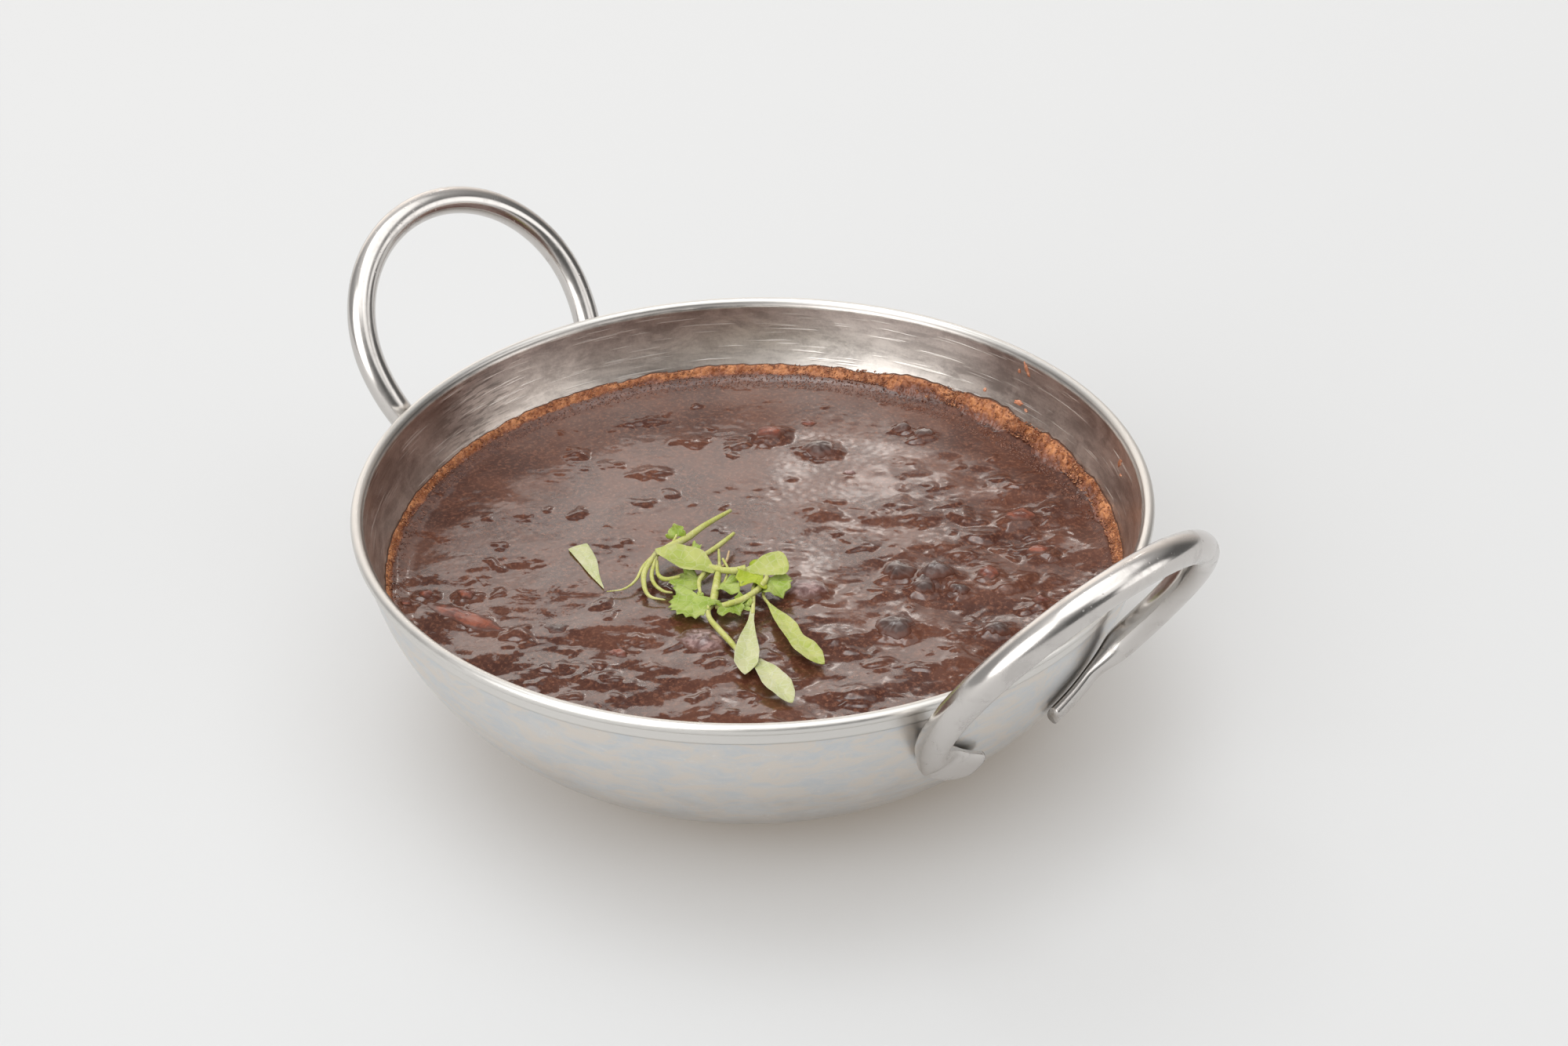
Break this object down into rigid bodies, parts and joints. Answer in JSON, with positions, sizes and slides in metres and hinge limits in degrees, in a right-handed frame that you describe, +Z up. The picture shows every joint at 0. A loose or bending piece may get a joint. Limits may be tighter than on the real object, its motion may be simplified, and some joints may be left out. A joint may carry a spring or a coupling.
{
  "type": "bowl of black bean stew",
  "caption": "Shallow round steel balti dish with looped rod handles, filled with dark bean stew and topped with coriander seedlings.",
  "frame": {"origin": "middle of the flat foot, on the table", "axes": "+Z up through the middle of the round dish, X through the two handles with the near handle at +X, Y across the dish"},
  "size_m": [0.2073, 0.16, 0.0829],
  "materials": {
    "bowl_steel": "satin pressed stainless steel, finely scratched inside",
    "handle_steel": "polished stainless steel rod",
    "stew": null,
    "sprigs": null,
    "seed_leaf": null
  },
  "bodies": {
    "root": {"bowl": "bowl_steel", "stew": "stew", "handle_near": "handle_steel", "handle_far": "handle_steel", "sprig_heap": "sprigs", "seed_leaf_loose": "seed_leaf", "seed_leaf_hanging": "seed_leaf", "seed_leaf_front": "seed_leaf", "seed_leaf_right": "seed_leaf"}
  },
  "joints": []
}
